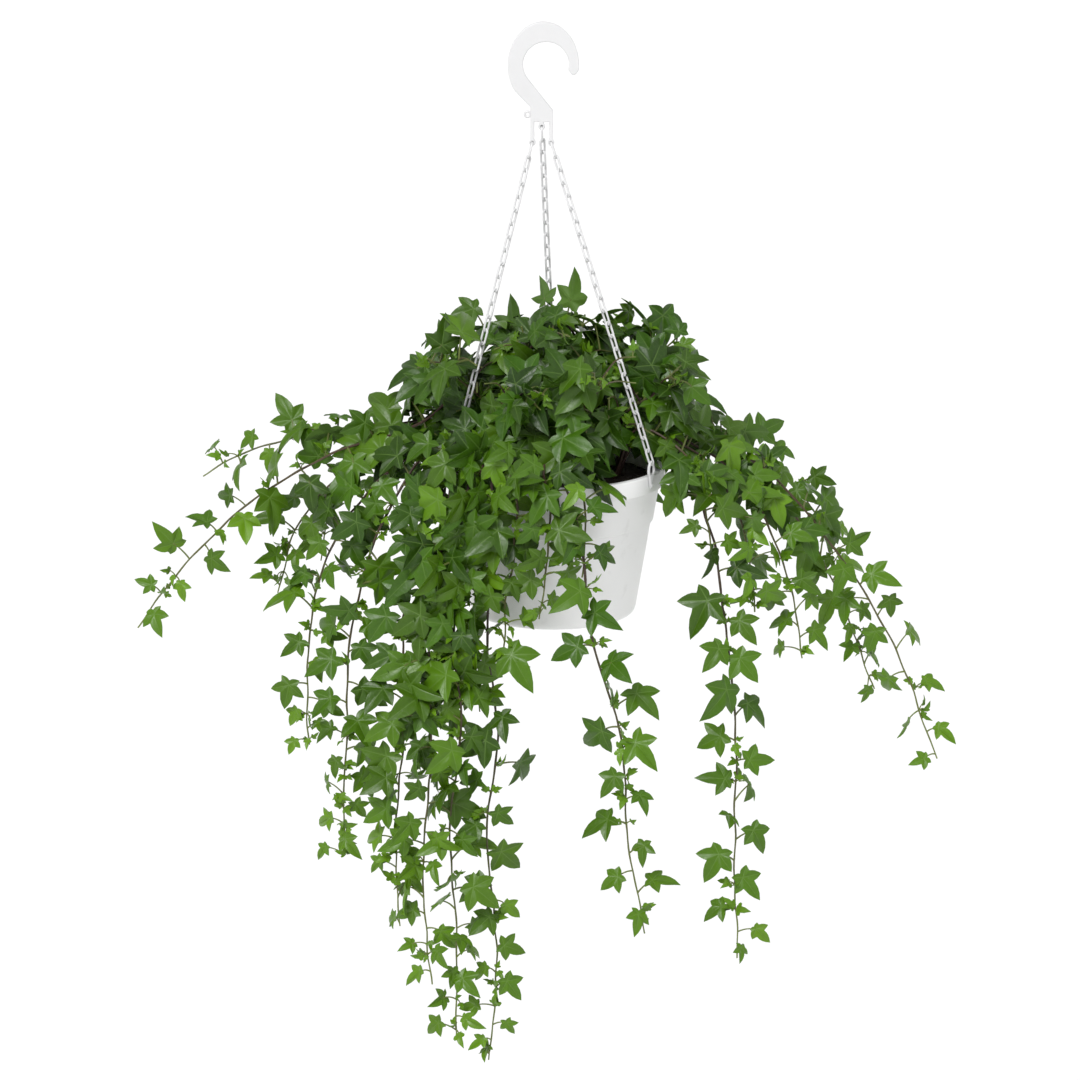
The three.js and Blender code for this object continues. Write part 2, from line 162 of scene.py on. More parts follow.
# How a vine grows: how high it rises over the rim first, and how soon it reaches out (1 is a
# straight slant, and more hangs down sooner).
HABITS = {"reaching": (0.06, 1.2), "arching": (0.04, 1.8), "hanging": (0.03, 3)}

# Groups of trailing vines: how many, the bearing where the first leaves the rim and the step to the
# next, how far the first and last tips stand out from the rim and hang below it, and their habit.
VINE_GROUPS = {
    "left_fan": (4, 137, 13, (0.075, 0.150), (0.075, 0.125), "arching"),
    "left_low": (2, 190, 10, (0.125, 0.100), (0.250, 0.350), "hanging"),
    "front_left": (3, 218, 8, (0.075, 0.050), (0.400, 0.500), "hanging"),
    "inner_left": (3, 222, 8, (0.050, 0.025), (0.250, 0.200), "hanging"),
    "front": (3, 252, 14, (0.025, 0.025), (0.150, 0.075), "hanging"),
    "right_low": (3, 337, 8, (0.050, 0.125), (0.075, 0.175), "arching"),
    "right_far": (2, 0, 10, (0.250, 0.200), (0.275, 0.225), "reaching"),
    "right_top": (3, 20, 15, (0.175, 0.100), (0.125, 0.025), "arching"),
    "back": (4, 62, 18, (0.050, 0.075), (0.125, 0.200), "hanging"),
}

# Vines that stand apart: bearing, reach, drop, habit, and how far the bearing sweeps round.
SINGLE_VINES = {
    "far_left": (182, 0.275, 0.150, "reaching", 0),
    "upper_left": (170, 0.225, 0.025, "reaching", 0),
    "front_bare": (244, 0.025, 0.525, "hanging", 0),
    "front_sweep": (273, 0.050, 0.400, "hanging", 30),
    "right_single": (341, 0.075, 0.450, "hanging", 0),
}
# Vines whose leaves stand further apart.
SPARSE_VINES = {*SINGLE_VINES, "right_far_1", "back_1", "back_4"}

# Rings of crown shoots: how many, the first one's bearing, how far their tips stand from the pot's
# axis, and how high. Every other one is lower.
CROWN_RINGS = {"inner": (4, 45, 0.040, 0.130), "outer": (8, 22.5, 0.120, 0.105)}
CROWN_LOWER = 0.8
TWIGS = 7
TWIG_LENGTH = 0.044

SOIL_TOP = -SOIL_DEPTH + SOIL_CROWN
ROOT_RADIUS = RIM_RADIUS - ROOT_INSET
BODY_TOP_RADIUS = RIM_RADIUS - RIM_OVERHANG
WALL_SLOPE = (BODY_TOP_RADIUS - BASE_RADIUS) / (POT_HEIGHT - RIM_BAND - BASE_CORNER)


# ---------------------------------------------------------------- finishes

class Value:
    """A socket that takes part in sums."""

    def __init__(self, finish, socket):
        self.finish = finish
        self.socket = socket

    def with_other(self, operation, other, swapped=False):
        pair = (other, self) if swapped else (self, other)
        return self.finish.node("ShaderNodeMath", {"operation": operation}, dict(enumerate(pair)))

    def __add__(self, other):
        return self.with_other("ADD", other)

    def __radd__(self, other):
        return self.with_other("ADD", other, True)

    def __sub__(self, other):
        return self.with_other("SUBTRACT", other)

    def __rsub__(self, other):
        return self.with_other("SUBTRACT", other, True)

    def __mul__(self, other):
        return self.with_other("MULTIPLY", other)

    def __rmul__(self, other):
        return self.with_other("MULTIPLY", other, True)

    def __gt__(self, other):
        return self.with_other("GREATER_THAN", other)

    def __abs__(self):
        return self.with_other("ABSOLUTE", 0.0)


class Finish:
    """One material, and the nodes that make it."""

    def __init__(self, name):
        self.material = bpy.data.materials.new(name)
        self.material.use_nodes = True
        self.tree = self.material.node_tree
        self.tree.nodes.clear()

    def node(self, kind, settings=None, inputs=None, out=0):
        node = self.tree.nodes.new(kind)
        for key, value in (settings or {}).items():
            setattr(node, key, value)
        for key, value in (inputs or {}).items():
            if isinstance(value, Value):
                self.tree.links.new(value.socket, node.inputs[key])
            else:
                node.inputs[key].default_value = value
        return Value(self, node.outputs[out]) if node.outputs else None

    def attribute(self, name, out="Fac"):
        return self.node("ShaderNodeAttribute", {"attribute_name": name}, out=out)

    def parts(self, vector):
        split = self.node("ShaderNodeSeparateXYZ", inputs={0: vector})
        return [Value(self, socket) for socket in split.socket.node.outputs]

    def place(self):
        return self.node("ShaderNodeTexCoord", out="Object")

    def noise(self, scale, detail):
        inputs = {"Vector": self.place(), "Scale": scale, "Detail": detail}
        return self.node("ShaderNodeTexNoise", inputs=inputs)

    def cells(self, scale, feature, where=None):
        inputs = {"Vector": where or self.place(), "Scale": scale}
        return self.node("ShaderNodeTexVoronoi", {"feature": feature}, inputs)

    def ease(self, value, start, end, low=0.0, high=1.0):
        inputs = {0: value, 1: start, 2: end, 3: low, 4: high}
        return self.node("ShaderNodeMapRange", {"interpolation_type": "SMOOTHSTEP"}, inputs)

    def blend(self, share, first, second):
        sides = [(*c, 1.0) if isinstance(c, tuple) else c for c in (first, second)]
        inputs = {0: share, 6: sides[0], 7: sides[1]}
        return self.node("ShaderNodeMix", {"data_type": "RGBA"}, inputs, out=2)

    def bump(self, height, strength, distance):
        inputs = {"Height": height, "Strength": strength, "Distance": distance}
        return self.node("ShaderNodeBump", inputs=inputs)

    def surface(self, inputs, glow_through=None):
        shader = self.node("ShaderNodeBsdfPrincipled", inputs=inputs)
        if glow_through:
            share, colour = glow_through
            thin = self.node("ShaderNodeBsdfTranslucent", inputs={"Color": (*colour, 1.0)})
            shader = self.node("ShaderNodeMixShader", inputs={0: share, 1: shader, 2: thin})
        self.node("ShaderNodeOutputMaterial", inputs={"Surface": shader})
        return self.material


def leaf_finish():
    """Waxy green blades with pale veins, brighter where young and duller underneath, with painted shade
    that darkens the leaves above the rim.
    """
    finish = Finish("ivy_leaf")
    across, along, _ = finish.parts(finish.attribute("leaf", "Vector"))
    age, tint, under = finish.parts(finish.attribute("growth", "Vector"))
    veins = None
    for lobe in LOBE_ANGLES:
        sine, cosine = math.sin(math.radians(lobe)), math.cos(math.radians(lobe))
        forward = across * sine + along * cosine
        off = abs(across * cosine - along * sine)
        taper = finish.ease(forward, 0.0, 0.9, 0.012, 0.003)
        line = (1.0 - finish.ease(off - taper, -0.006, 0.010)) * (forward > 0.0)
        veins = line if veins is None else veins.with_other("MAXIMUM", line)
    leaf_place = finish.attribute("leaf", "Vector")
    net = finish.cells(7.0, "DISTANCE_TO_EDGE", leaf_place)
    side_veins = 1.0 - finish.ease(net, 0.0, 0.05)
    mottle = finish.noise(90.0, 4.0)
    # The tint runs from dark to bright green. It is partly each leaf's own random tone and partly painted
    # shade, since leaves above the rim lean to its dark end.
    old = finish.blend(tint, (0.005, 0.024, 0.0008), (0.036, 0.112, 0.0015))
    green = finish.blend(age, old, (0.150, 0.315, 0.006))
    green = finish.blend(mottle * 0.3, green, (0.016, 0.052, 0.002))
    green = finish.blend(veins * 0.45, green, (0.140, 0.250, 0.050))
    green = finish.blend(side_veins * 0.12, green, (0.120, 0.220, 0.040))
    green = finish.blend(under * 0.6, green, (0.080, 0.160, 0.025))
    height = mottle * 0.3 - veins * 0.6 - side_veins * 0.25
    return finish.surface({
        "Base Color": green,
        "Roughness": mottle * 0.16 + 0.27 + under * 0.25,
        "Specular IOR Level": 0.36,
        "Normal": finish.bump(height, 0.35, 0.0006),
    }, glow_through=(0.10, (0.22, 0.40, 0.006)))


def stem_finish():
    """Brown woody stems that turn green towards their young ends."""
    finish = Finish("ivy_stem")
    age, tint, _ = finish.parts(finish.attribute("growth", "Vector"))
    bark = finish.noise(420.0, 3.0)
    # A stem's tint is its own random tone. A leaf stalk takes its leaf's tint, and with it the painted
    # shade of the leaves above the rim.
    old = finish.blend(tint, (0.032, 0.014, 0.012), (0.085, 0.045, 0.025))
    colour = finish.blend(age, old, (0.170, 0.230, 0.040))
    colour = finish.blend(bark * 0.45, colour, (0.020, 0.010, 0.008))
    return finish.surface({
        "Base Color": colour,
        "Roughness": bark * 0.2 + 0.45,
        "Normal": finish.bump(bark, 0.4, 0.0004),
    })


def moulded_finish(name, light, shade, scuff):
    """White moulded plastic: fine grain, faint clouding and a few scuffs."""
    finish = Finish(name)
    cloud = finish.noise(9.0, 4.0)
    grain = finish.noise(900.0, 2.0)
    marks = finish.ease(finish.noise(60.0, 6.0), 0.62, 0.74)
    colour = finish.blend(cloud, light, shade)
    colour = finish.blend(marks * scuff, colour, (0.42, 0.41, 0.39))
    return finish.surface({
        "Base Color": colour,
        "Roughness": cloud * 0.10 + grain * 0.08 + 0.30 + marks * 0.1,
        "Normal": finish.bump(grain + cloud * 0.6, 0.12, 0.0003),
    })


def soil_finish():
    """Dark potting mix, damp in places."""
    finish = Finish("potting_mix")
    crumbs = finish.cells(260.0, "F1")
    damp = finish.noise(40.0, 5.0)
    colour = finish.blend(damp, (0.011, 0.007, 0.005), (0.055, 0.034, 0.022))
    colour = finish.blend(crumbs * 0.5, colour, (0.030, 0.020, 0.013))
    return finish.surface({
        "Base Color": colour,
        "Roughness": 0.98 - damp * 0.2,
        "Normal": finish.bump(crumbs + damp, 0.9, 0.002),
    })


def floor_finish():
    """Plain pale studio paper."""
    finish = Finish("studio_floor")
    tone = finish.noise(1.2, 2.0)
    return finish.surface({
        "Base Color": finish.blend(tone, (0.905, 0.905, 0.905), (0.925, 0.925, 0.925)),
        "Roughness": 0.9 - tone * 0.1,
    })


# ---------------------------------------------------------------- meshes

class Gathered:
    """Many small closed parts gathered into one mesh, each with a cell of the bake map."""

    def __init__(self):
        self.points, self.loops, self.sizes, self.places = [], [], [], []
        self.cells, self.finishes, self.leaf, self.growth = [], [], [], []
        self.count = 0
        self.parts = 0

    def add(self, points, loops, sizes, places, finish=0, leaf=None, growth=None):
        total = len(points)
        self.points.append(points)
        self.loops.append(loops + self.count)
        self.sizes.append(sizes)
        self.places.append(places)
        self.cells.append(np.full(len(loops), self.parts))
        self.finishes.append(np.full(len(sizes), finish))
        self.leaf.append(np.zeros((total, 3)) if leaf is None else leaf)
        self.growth.append(np.zeros((total, 3)) if growth is None else growth)
        self.count += total
        self.parts += 1

    def build(self, name, materials, slot, *nodes, sharp=50.0):
        points = np.concatenate(self.points)
        loops = np.concatenate(self.loops)
        sizes = np.concatenate(self.sizes)
        mesh = bpy.data.meshes.new(name)
        mesh.vertices.add(len(points))
        mesh.vertices.foreach_set("co", points.ravel())
        mesh.loops.add(len(loops))
        mesh.loops.foreach_set("vertex_index", loops)
        mesh.polygons.add(len(sizes))
        mesh.polygons.foreach_set("loop_start", np.cumsum(sizes) - sizes)
        mesh.polygons.foreach_set("material_index", np.concatenate(self.finishes))
        side = math.ceil(math.sqrt(self.parts))
        cell = np.concatenate(self.cells)
        corner = np.stack([cell % side, cell // side], axis=1)
        places = (corner + 0.06 + 0.88 * np.concatenate(self.places)) / side
        mesh.update(calc_edges=True)
        mesh.uv_layers.new(name="OFBake").data.foreach_set("uv", places.ravel())
        for key, values in (("leaf", self.leaf), ("growth", self.growth)):
            layer = mesh.attributes.new(key, "FLOAT_VECTOR", "POINT")
            layer.data.foreach_set("vector", np.concatenate(values).ravel())
        mesh.polygons.foreach_set("use_smooth", np.ones(len(sizes), dtype=bool))
        mesh.set_sharp_from_angle(angle=math.radians(sharp))
        for material in materials:
            mesh.materials.append(material)
        return finished(name, mesh, slot, *nodes)


def finished(name, mesh, slot, *nodes):
    """A piece that rides on the part and stands in for the named CAD nodes."""
    piece = bpy.data.objects.new(name, mesh)
    bpy.context.scene.collection.objects.link(piece)
    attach(piece, "root")
    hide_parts(*nodes)
    return piece


def unit(vector):
    return vector / max(np.linalg.norm(vector), 1e-9)


def polar(bearing, radius, height):
    """The point at a bearing in degrees round the upright axis."""
    angle = math.radians(bearing)
    return np.array([radius * math.cos(angle), radius * math.sin(angle), height])


def tube(path, radii, sides, closed=False):
    """A tube round a path: points, loops, face sizes and map places."""
    path = np.asarray(path, dtype=float)
    count = len(path)
    ahead = np.roll(path, -1, axis=0) if closed else np.vstack([path[1:], 2 * path[-1] - path[-2]])
    behind = np.roll(path, 1, axis=0) if closed else np.vstack([2 * path[0] - path[1], path[:-1]])
    tangents = ahead - behind
    tangents /= np.linalg.norm(tangents, axis=1)[:, None]
    first = unit(np.cross(tangents[0], UP if abs(tangents[0][2]) < 0.9 else np.array([1.0, 0, 0])))
    sideways = [first]
    for tangent in tangents[1:]:
        sideways.append(unit(sideways[-1] - tangent * np.dot(sideways[-1], tangent)))
    sideways = np.array(sideways)
    upright = np.cross(tangents, sideways)
    angles = np.arange(sides) * 2 * math.pi / sides
    cosines, sines = np.cos(angles)[None, :, None], np.sin(angles)[None, :, None]
    ring = cosines * sideways[:, None] + sines * upright[:, None]
    points = (path[:, None] + ring * np.asarray(radii)[:, None, None]).reshape(-1, 3)
    loops, sizes, places = [], [], []
    for i in range(count if closed else count - 1):
        for k in range(sides):
            j, m = (i + 1) % count, (k + 1) % sides
            loops += [i * sides + k, i * sides + m, j * sides + m, j * sides + k]
            sizes.append(4)
            for a, b in ((k, i), (k + 1, i), (k + 1, i + 1), (k, i + 1)):
                places.append((a / sides, 0.9 * b / count))
    if not closed:
        for start, order, middle in ((0, -1, 0.1), ((count - 1) * sides, 1, 0.3)):
            loops += [start + k for k in range(sides)][::order]
            sizes.append(sides)
            places += [(middle + 0.04 * math.cos(a), 0.95 + 0.04 * math.sin(a)) for a in angles[::order]]
    return points, np.array(loops), np.array(sizes), np.array(places)


def curve_through(points, spacing):
    """Evenly spaced points on a centripetal curve through the given ones, open at both ends."""
    ends = [2 * points[0] - points[1], *points, 2 * points[-1] - points[-2]]
    dense = []
    for a, b, c, d in zip(ends, ends[1:], ends[2:], ends[3:]):
        knots = [0.0]
        for p, q in ((a, b), (b, c), (c, d)):
            knots.append(knots[-1] + max(np.linalg.norm(q - p), 1e-6) ** 0.5)
        t0, t1, t2, t3 = knots
        for t in np.linspace(t1, t2, 24, endpoint=False):
            low = (a * (t1 - t) + b * (t - t0)) / (t1 - t0)
            middle = (b * (t2 - t) + c * (t - t1)) / (t2 - t1)
            high = (c * (t3 - t) + d * (t - t2)) / (t3 - t2)
            left = (low * (t2 - t) + middle * (t - t0)) / (t2 - t0)
            right = (middle * (t3 - t) + high * (t - t1)) / (t3 - t1)
            dense.append((left * (t2 - t) + right * (t - t1)) / (t2 - t1))
    dense = np.array([*dense, points[-1]])
    travelled = np.concatenate([[0.0], np.cumsum(np.linalg.norm(np.diff(dense, axis=0), axis=1))])
    count = max(4, round(travelled[-1] / spacing))
    wanted = np.linspace(0, travelled[-1], count + 1)
    return np.stack([np.interp(wanted, travelled, dense[:, i]) for i in range(3)], axis=1), travelled[-1]


# ---------------------------------------------------------------- leaves

LOBE_ANGLES = (0, 63, -63, 126, -126)
LEAF_RAYS = 40
SPROUT_RAYS = 20
LEAF_RINGS = (0.34, 0.67, 1.0)
SPROUT_RINGS = (0.6, 1.0)
LEAF_THICKNESS = 0.0004
LOBE_LENGTHS = (1.0, 0.67, 0.67, 0.43, 0.43)
YOUNG_LOBE_LENGTHS = (1.0, 0.58, 0.58, 0.32, 0.32)
LOBE_WIDTH = 0.25
LOBE_FULLNESS = 3.0
NOTCH = 0.12


def lobe_reach(off, length, width):
    """How far a pointed, lens-shaped lobe reaches along a ray off its own axis."""
    reach = 0.0
    for t in np.linspace(0.02, 1.0, 99):
        half = width * LOBE_FULLNESS * t ** 0.7 * (1 - t)
        if t * length * math.tan(off) <= half:
            reach = t * length / math.cos(off)
    return reach


def leaf_outline(rng, young, rays):
    """The blade's radius along each ray, as the furthest of its five lobes."""
    lengths = YOUNG_LOBE_LENGTHS if young else LOBE_LENGTHS
    lobes = []
    for lobe, length in zip(LOBE_ANGLES, lengths):
        width = LOBE_WIDTH * rng.uniform(0.88, 1.1) * length ** 0.5
        lobes.append((lobe, length * rng.uniform(0.90, 1.10), width))
    radii = []
    for ray in range(rays):
        angle = ray * 360 / rays
        reach = NOTCH
        for lobe, length, width in lobes:
            off = math.radians(abs((angle - lobe + 180) % 360 - 180))
            if off < math.radians(80):
                reach = max(reach, lobe_reach(off, length, width))
        radii.append(reach)
    return np.array(radii)


def leaf_template(rng, young=False, rays=LEAF_RAYS, rings=LEAF_RINGS):
    """One leaf, a unit long, with its stalk's joint at zero and its tip along Y."""
    radii = leaf_outline(rng, young, rays)
    angles = np.radians(np.arange(rays) * 360 / rays)
    flat = [(0.0, 0.0)]
    for ring in rings:
        flat += [(ring * r * math.sin(a), ring * r * math.cos(a)) for r, a in zip(radii, angles)]
    flat = np.array(flat)
    puff = np.ones(len(flat))
    for lobe in LOBE_ANGLES:
        sine, cosine = math.sin(math.radians(lobe)), math.cos(math.radians(lobe))
        off = flat[:, 0] * cosine - flat[:, 1] * sine
        forward = flat[:, 0] * sine + flat[:, 1] * cosine
        puff = np.where(forward > 0, np.minimum(puff, 1 - np.exp(-((off / 0.10) ** 2))), puff)
    far = np.hypot(flat[:, 0], flat[:, 1])
    wave = np.sin(np.arctan2(flat[:, 0], flat[:, 1]) * 3 + rng.uniform(0, 6.3))
    height = 0.065 * puff * np.minimum(far * 4, 1) - rng.uniform(0.10, 0.40) * far ** 2 + 0.03 * wave * far
    height += rng.uniform(-0.05, 0.28) * np.abs(flat[:, 0])
    n = len(flat)
    loops, sizes, places = [], [], []

    def face(*corners):
        loops.extend(c[0] for c in corners)
        sizes.append(len(corners))
        places.extend(c[1] for c in corners)

    def corner(i, under, grow=1.0):
        x, y = flat[i] * grow
        return i + n * under, (0.25 + 0.5 * under + 0.23 * x * (-1 if under else 1), 0.40 + 0.5 * y)

    for k in range(rays):
        m = (k + 1) % rays
        for under in (0, 1):
            sheet = [(0, 1 + m, 1 + k)]
            for ring in range(len(rings) - 1):
                a, b = 1 + ring * rays, 1 + (ring + 1) * rays
                sheet.append((a + k, a + m, b + m, b + k))
            for item in sheet:
                face(*[corner(i, under) for i in (item[::-1] if under else item)])
        rim = 1 + (len(rings) - 1) * rays
        top, low = corner(rim + k, 1, 1.05)[1], corner(rim + m, 1, 1.05)[1]
        face((rim + k, top), (rim + m, low), corner(rim + m, 1), corner(rim + k, 1))
    return flat, height, np.array(loops), np.array(sizes), np.array(places)


def keep_off_pot(points):
    """Moves what would be inside the pot's wall just outside it."""
    far = np.hypot(points[:, 0], points[:, 1])
    beside = (points[:, 2] < 0.003) & (points[:, 2] > -POT_HEIGHT - 0.004) & (far > RIM_RADIUS * 0.8)
    nearest = RIM_RADIUS + POT_KEEP_OFF
    wanted = np.where(beside & (far < nearest), nearest, far)
    points[:, :2] *= (wanted / np.maximum(far, 1e-6))[:, None]
    return points


def covers_chain(point):
    """Whether a point lies on the outside of one of the two front chains, which rest on the leaves."""
    for place, lowest in CHAIN_SHOWS_OVER.items():
        bearing, top_x, top = CHAINS[place]
        low = polar(bearing, RIM_RADIUS, CLIP_LOOP)
        high = np.array([top_x, 0.0, -top]) - POT_CENTRE
        chain = low + (high - low) * (point[2] - low[2]) / (high[2] - low[2])
        beside = abs(point[0] - chain[0]) < CHAIN_KEEP_OFF
        if point[2] > lowest and beside and point[1] < chain[1] + CHAIN_BACK_MARGIN:
            return True
    return False


def add_leaf(gathered, rng, foot, joint, axis, face, size, age, shapes):
    """A blade at joint, and its curved stalk from foot."""
    flat, height, loops, sizes, places = rng.choice(shapes)
    if any(covers_chain(joint + axis * size * share) for share in (-0.3, 0.2, 0.6, 1.0)):
        return
    across = unit(np.cross(axis, face))
    normal = np.cross(across, axis)
    top = joint + size * (flat[:, :1] * across + flat[:, 1:] * axis + height[:, None] * normal)
    points = keep_off_pot(np.concatenate([top, top - normal * LEAF_THICKNESS]))
    n = len(flat)
    leaf = np.concatenate([np.column_stack([flat, np.zeros(n)])] * 2)
    # Painted shade: the random tint leans to its dark end for leaves above the rim, in the crown, and a
    # little to its bright end below the rim.
    tint = rng.random() ** (1.7 if foot[2] > 0 else 0.8)
    growth = np.zeros((2 * n, 3)) + [age, tint, 0]
    growth[n:, 2] = 1
    gathered.add(points + POT_CENTRE, loops, sizes, places, 0, leaf, growth)
    droop = unit(joint - foot + UP * 0.3 * PETIOLE)
    middle = foot + droop * np.linalg.norm(joint - foot) * 0.55
    end = joint + axis * size * 0.03 - normal * LEAF_THICKNESS
    shares = np.linspace(0, 1, 7)[:, None]
    path = (1 - shares) ** 2 * foot + 2 * shares * (1 - shares) * middle + shares ** 2 * end
    width = (0.00045 + 0.00030 * size / LEAF_LARGE) * np.linspace(1.25, 0.85, 7)
    stalk = tube(keep_off_pot(path.copy()) + POT_CENTRE, width, 5)
    growth = np.zeros((len(stalk[0]), 3)) + [min(1, 0.45 + 0.5 * age + 0.2 * tint), tint, 0]
    gathered.add(*stalk, 1, None, growth)


def add_stem(gathered, path, start, end, age, tint):
    """A stem along path, from its start radius to its end radius, younger towards the tip."""
    shares = np.linspace(0, 1, len(path))
    radii = start + (end - start) * shares
    radii = radii * (1 + 0.10 * np.sin(np.arange(len(path)) * 1.3))
    stem = tube(path + POT_CENTRE, radii, 7)
    ages = np.repeat(age * shares ** 3, 7)
    growth = np.column_stack([ages, np.full(len(ages), tint), np.zeros(len(ages))])
    gathered.add(*stem, 1, None, growth)


def light_side(foot):
    """The way leaves face: outward and up, and round to the light at the plant's sides."""
    outward = unit(np.array([foot[0], foot[1], 0.0]))
    return unit(np.array([outward[0] * 0.35, outward[1] - 0.9 * abs(outward[0]), 0.6]))


def scatter(rng, amount):
    """A small random push."""
    return np.array([rng.gauss(0, amount) for _ in range(3)])


def leaves_along(gathered, rng, path, length, first, size_at, age_at, pitch):
    """Leaves on alternate sides of a stem, smaller and younger towards its tip."""
    along = first
    side_sign = rng.choice((-1, 1))
    while along < length * 0.995:
        share = along / length
        index = share * (len(path) - 1)
        low = min(int(index), len(path) - 2)
        foot = path[low] + (path[low + 1] - path[low]) * (index - low)
        tangent = unit(path[low + 1] - path[low])
        face = unit(light_side(foot) + scatter(rng, 0.42))
        side = unit(np.cross(tangent, face)) * side_sign
        size = size_at(share) * rng.uniform(*LEAF_SPREAD)
        stalk = PETIOLE * rng.uniform(*STALK_SPREAD) * (0.45 + 0.55 * size / LEAF_LARGE)
        reach = unit(side * 0.8 + face * 0.5 + UP * 0.15 + scatter(rng, 0.18))
        axis = unit(side * 0.65 + tangent * 0.25 - UP * 0.42 + face * 0.1 + scatter(rng, 0.30))
        age = age_at(share, rng)
        shapes = YOUNG_LEAVES if age > 0.6 else LEAVES
        add_leaf(gathered, rng, foot, foot + reach * stalk, axis, face, size, age, shapes)
        if rng.random() < SPROUT_SHARE:
            add_sprout(gathered, rng, foot, tangent, -side, face)
        side_sign = -side_sign
        along += pitch * rng.uniform(*PITCH_SPREAD) * (0.55 + 0.45 * size / LEAF_LARGE)


def add_sprout(gathered, rng, foot, tangent, side, face):
    """A few tiny bright leaves in the angle of a leaf stalk."""
    for _ in range(rng.randint(2, 3)):
        size = SPROUT_LARGE * rng.uniform(0.5, 1.0)
        reach = unit(side * rng.uniform(-0.2, 0.8) + face * 0.6 + UP * 0.3 + scatter(rng, 0.4))
        axis = unit(reach + tangent * 0.3 + scatter(rng, 0.4))
        turned = unit(face + scatter(rng, 0.4))
        joint = foot + reach * rng.uniform(0.004, 0.010)
        add_leaf(gathered, rng, foot, joint, axis, turned, size, rng.uniform(0.6, 1.0), SPROUTS)


def vine_path(bearing, reach, drop, habit, sweep):
    """A vine's way up from the soil, over the rim and down, and its length."""
    rise, spread = HABITS[habit]
    over_radius, over_height = RIM_RADIUS + RIM_CLEARANCE, rise * 0.6
    points = [
        polar(bearing, ROOT_RADIUS, SOIL_TOP - 0.002),
        polar(bearing, RIM_RADIUS - SHOULDER_INSET, rise),
        polar(bearing, over_radius, over_height),
    ]
    length = math.hypot(reach - RIM_CLEARANCE, drop + over_height)
    steps = max(4, round(length / HANG_STEP))
    for i in range(1, steps + 1):
        s = i / steps
        out = 1 - (1 - s) ** spread
        radius = over_radius + (RIM_RADIUS + reach - over_radius) * out
        height = over_height - (drop + over_height) * s ** (1 + 0.6 / spread)
        sway = SWAY * math.sin(s * length * 2 * math.pi / SWAY_LENGTH)
        points.append(polar(bearing + sweep * s, radius, height) + polar(bearing + 90, sway, 0))
    return curve_through(points, PATH_SPACING)


def all_vines():
    """Every trailing vine's bearing, reach, drop, habit and sweep, by its name."""
    vines = dict(SINGLE_VINES)
    for group, (count, first, step, reach, drop, habit) in VINE_GROUPS.items():
        reaches = np.linspace(*reach, count)
        drops = np.linspace(*drop, count)
        for i in range(count):
            vines[f"{group}_{i + 1}"] = (first + i * step, reaches[i], drops[i], habit, 0)
    return vines


def all_shoots():
    """Every crown shoot's bearing, lean and height, by its name."""
    shoots = {}
    for ring, (count, first, lean, height) in CROWN_RINGS.items():
        for i in range(count):
            lower = CROWN_LOWER if i % 2 else 1
            shoots[f"{ring}_{i + 1}"] = (first + i * 360 / count, lean, height * lower)
    return shoots


def grow_vine(name, values, materials):
    """A trailing vine with its leaves."""
    rng = random.Random(name)
    path, length = vine_path(*values)
    shares = np.linspace(0, 1, len(path))
    wander = np.array([field_noise.noise_vector(Vector(p * WANDER_SCALE)) for p in path])
    path = path + wander * WANDER * np.minimum(1, shares * 5)[:, None]
    gathered = Gathered()
    add_stem(gathered, path, STEM_RADIUS, STEM_RADIUS * 0.5, 0.9, rng.random())

    def size_at(share):
        return LEAF_LARGE * (1 - 0.48 * share ** 4)

    def age_at(share, rng):
        fresh = 1 if rng.random() < 0.08 else 0
        return min(1, 0.05 + 0.35 * rng.random() ** 2 + 0.5 * share ** 2.5 + 0.4 * fresh)

    pitch = SPARSE_PITCH if name in SPARSE_VINES else LEAF_PITCH
    leaves_along(gathered, rng, path, length, FIRST_LEAF, size_at, age_at, pitch)
    gathered.build(name + "_grown", materials, "ivy", "vine_" + name)


def grow_shoot(name, values, materials):
    """A crown shoot with its side twigs, all leafy."""
    rng = random.Random(name)
    bearing, lean, height = values
    widest = max(ring[2] for ring in CROWN_RINGS.values())
    root = (ROOT_RADIUS - SHOOT_RING_GAP) * lean / widest
    points = [
        polar(bearing, root, SOIL_TOP - 0.002),
        polar(bearing, root + lean * 0.15, height * 0.55),
        polar(bearing, lean, height),
    ]
    path, length = curve_through(points, PATH_SPACING)
    gathered = Gathered()
    add_stem(gathered, path, STEM_RADIUS, STEM_RADIUS * 0.6, 0.8, rng.random())

    def size_at(share):
        return LEAF_LARGE * (1.02 - 0.25 * share ** 3)

    def age_at(share, rng):
        return min(1, 0.04 + 0.5 * rng.random() ** 3 + 0.15 * share ** 3)

    leaves_along(gathered, rng, path, length, length * 0.3, size_at, age_at, LEAF_PITCH)
    for i in range(TWIGS):
        share = 0.35 + 0.5 * i / (TWIGS - 1)
        foot = path[int(share * (len(path) - 1))]
        heading = polar(bearing + (i * 137) % 360 + rng.uniform(-25, 25), 1, rng.uniform(0.1, 0.7))
        tip = foot + unit(heading) * TWIG_LENGTH * rng.uniform(0.8, 1.15)
        bend = (foot + tip) / 2 + UP * 0.010
        twig, reach = curve_through([foot, bend, tip], PATH_SPACING)
        add_stem(gathered, twig, STEM_RADIUS * 0.7, STEM_RADIUS * 0.45, 0.9, rng.random())
        leaves_along(gathered, rng, twig, reach, 0.008, size_at, age_at, LEAF_PITCH * 0.75)
    gathered.build(name + "_shoot", materials, "ivy", "shoot_" + name)


# ---------------------------------------------------------------- pot and soil

def filleted(corners):
    """A profile whose corners are rounded. Each corner is (radius, height, fillet)."""
    points = [np.array(c[:2], dtype=float) for c in corners]
    out = [points[0]]
    for i in range(1, len(points) - 1):
        here, fillet = points[i], corners[i][2]
        before, after = unit(points[i - 1] - here), unit(points[i + 1] - here)
        if not fillet:
            out.append(here)
            continue
        start, end = here + before * fillet, here + after * fillet
        for t in np.linspace(0, 1, 5):
            out.append((1 - t) ** 2 * start + 2 * t * (1 - t) * here + t ** 2 * end)
    return [*out, points[-1]]


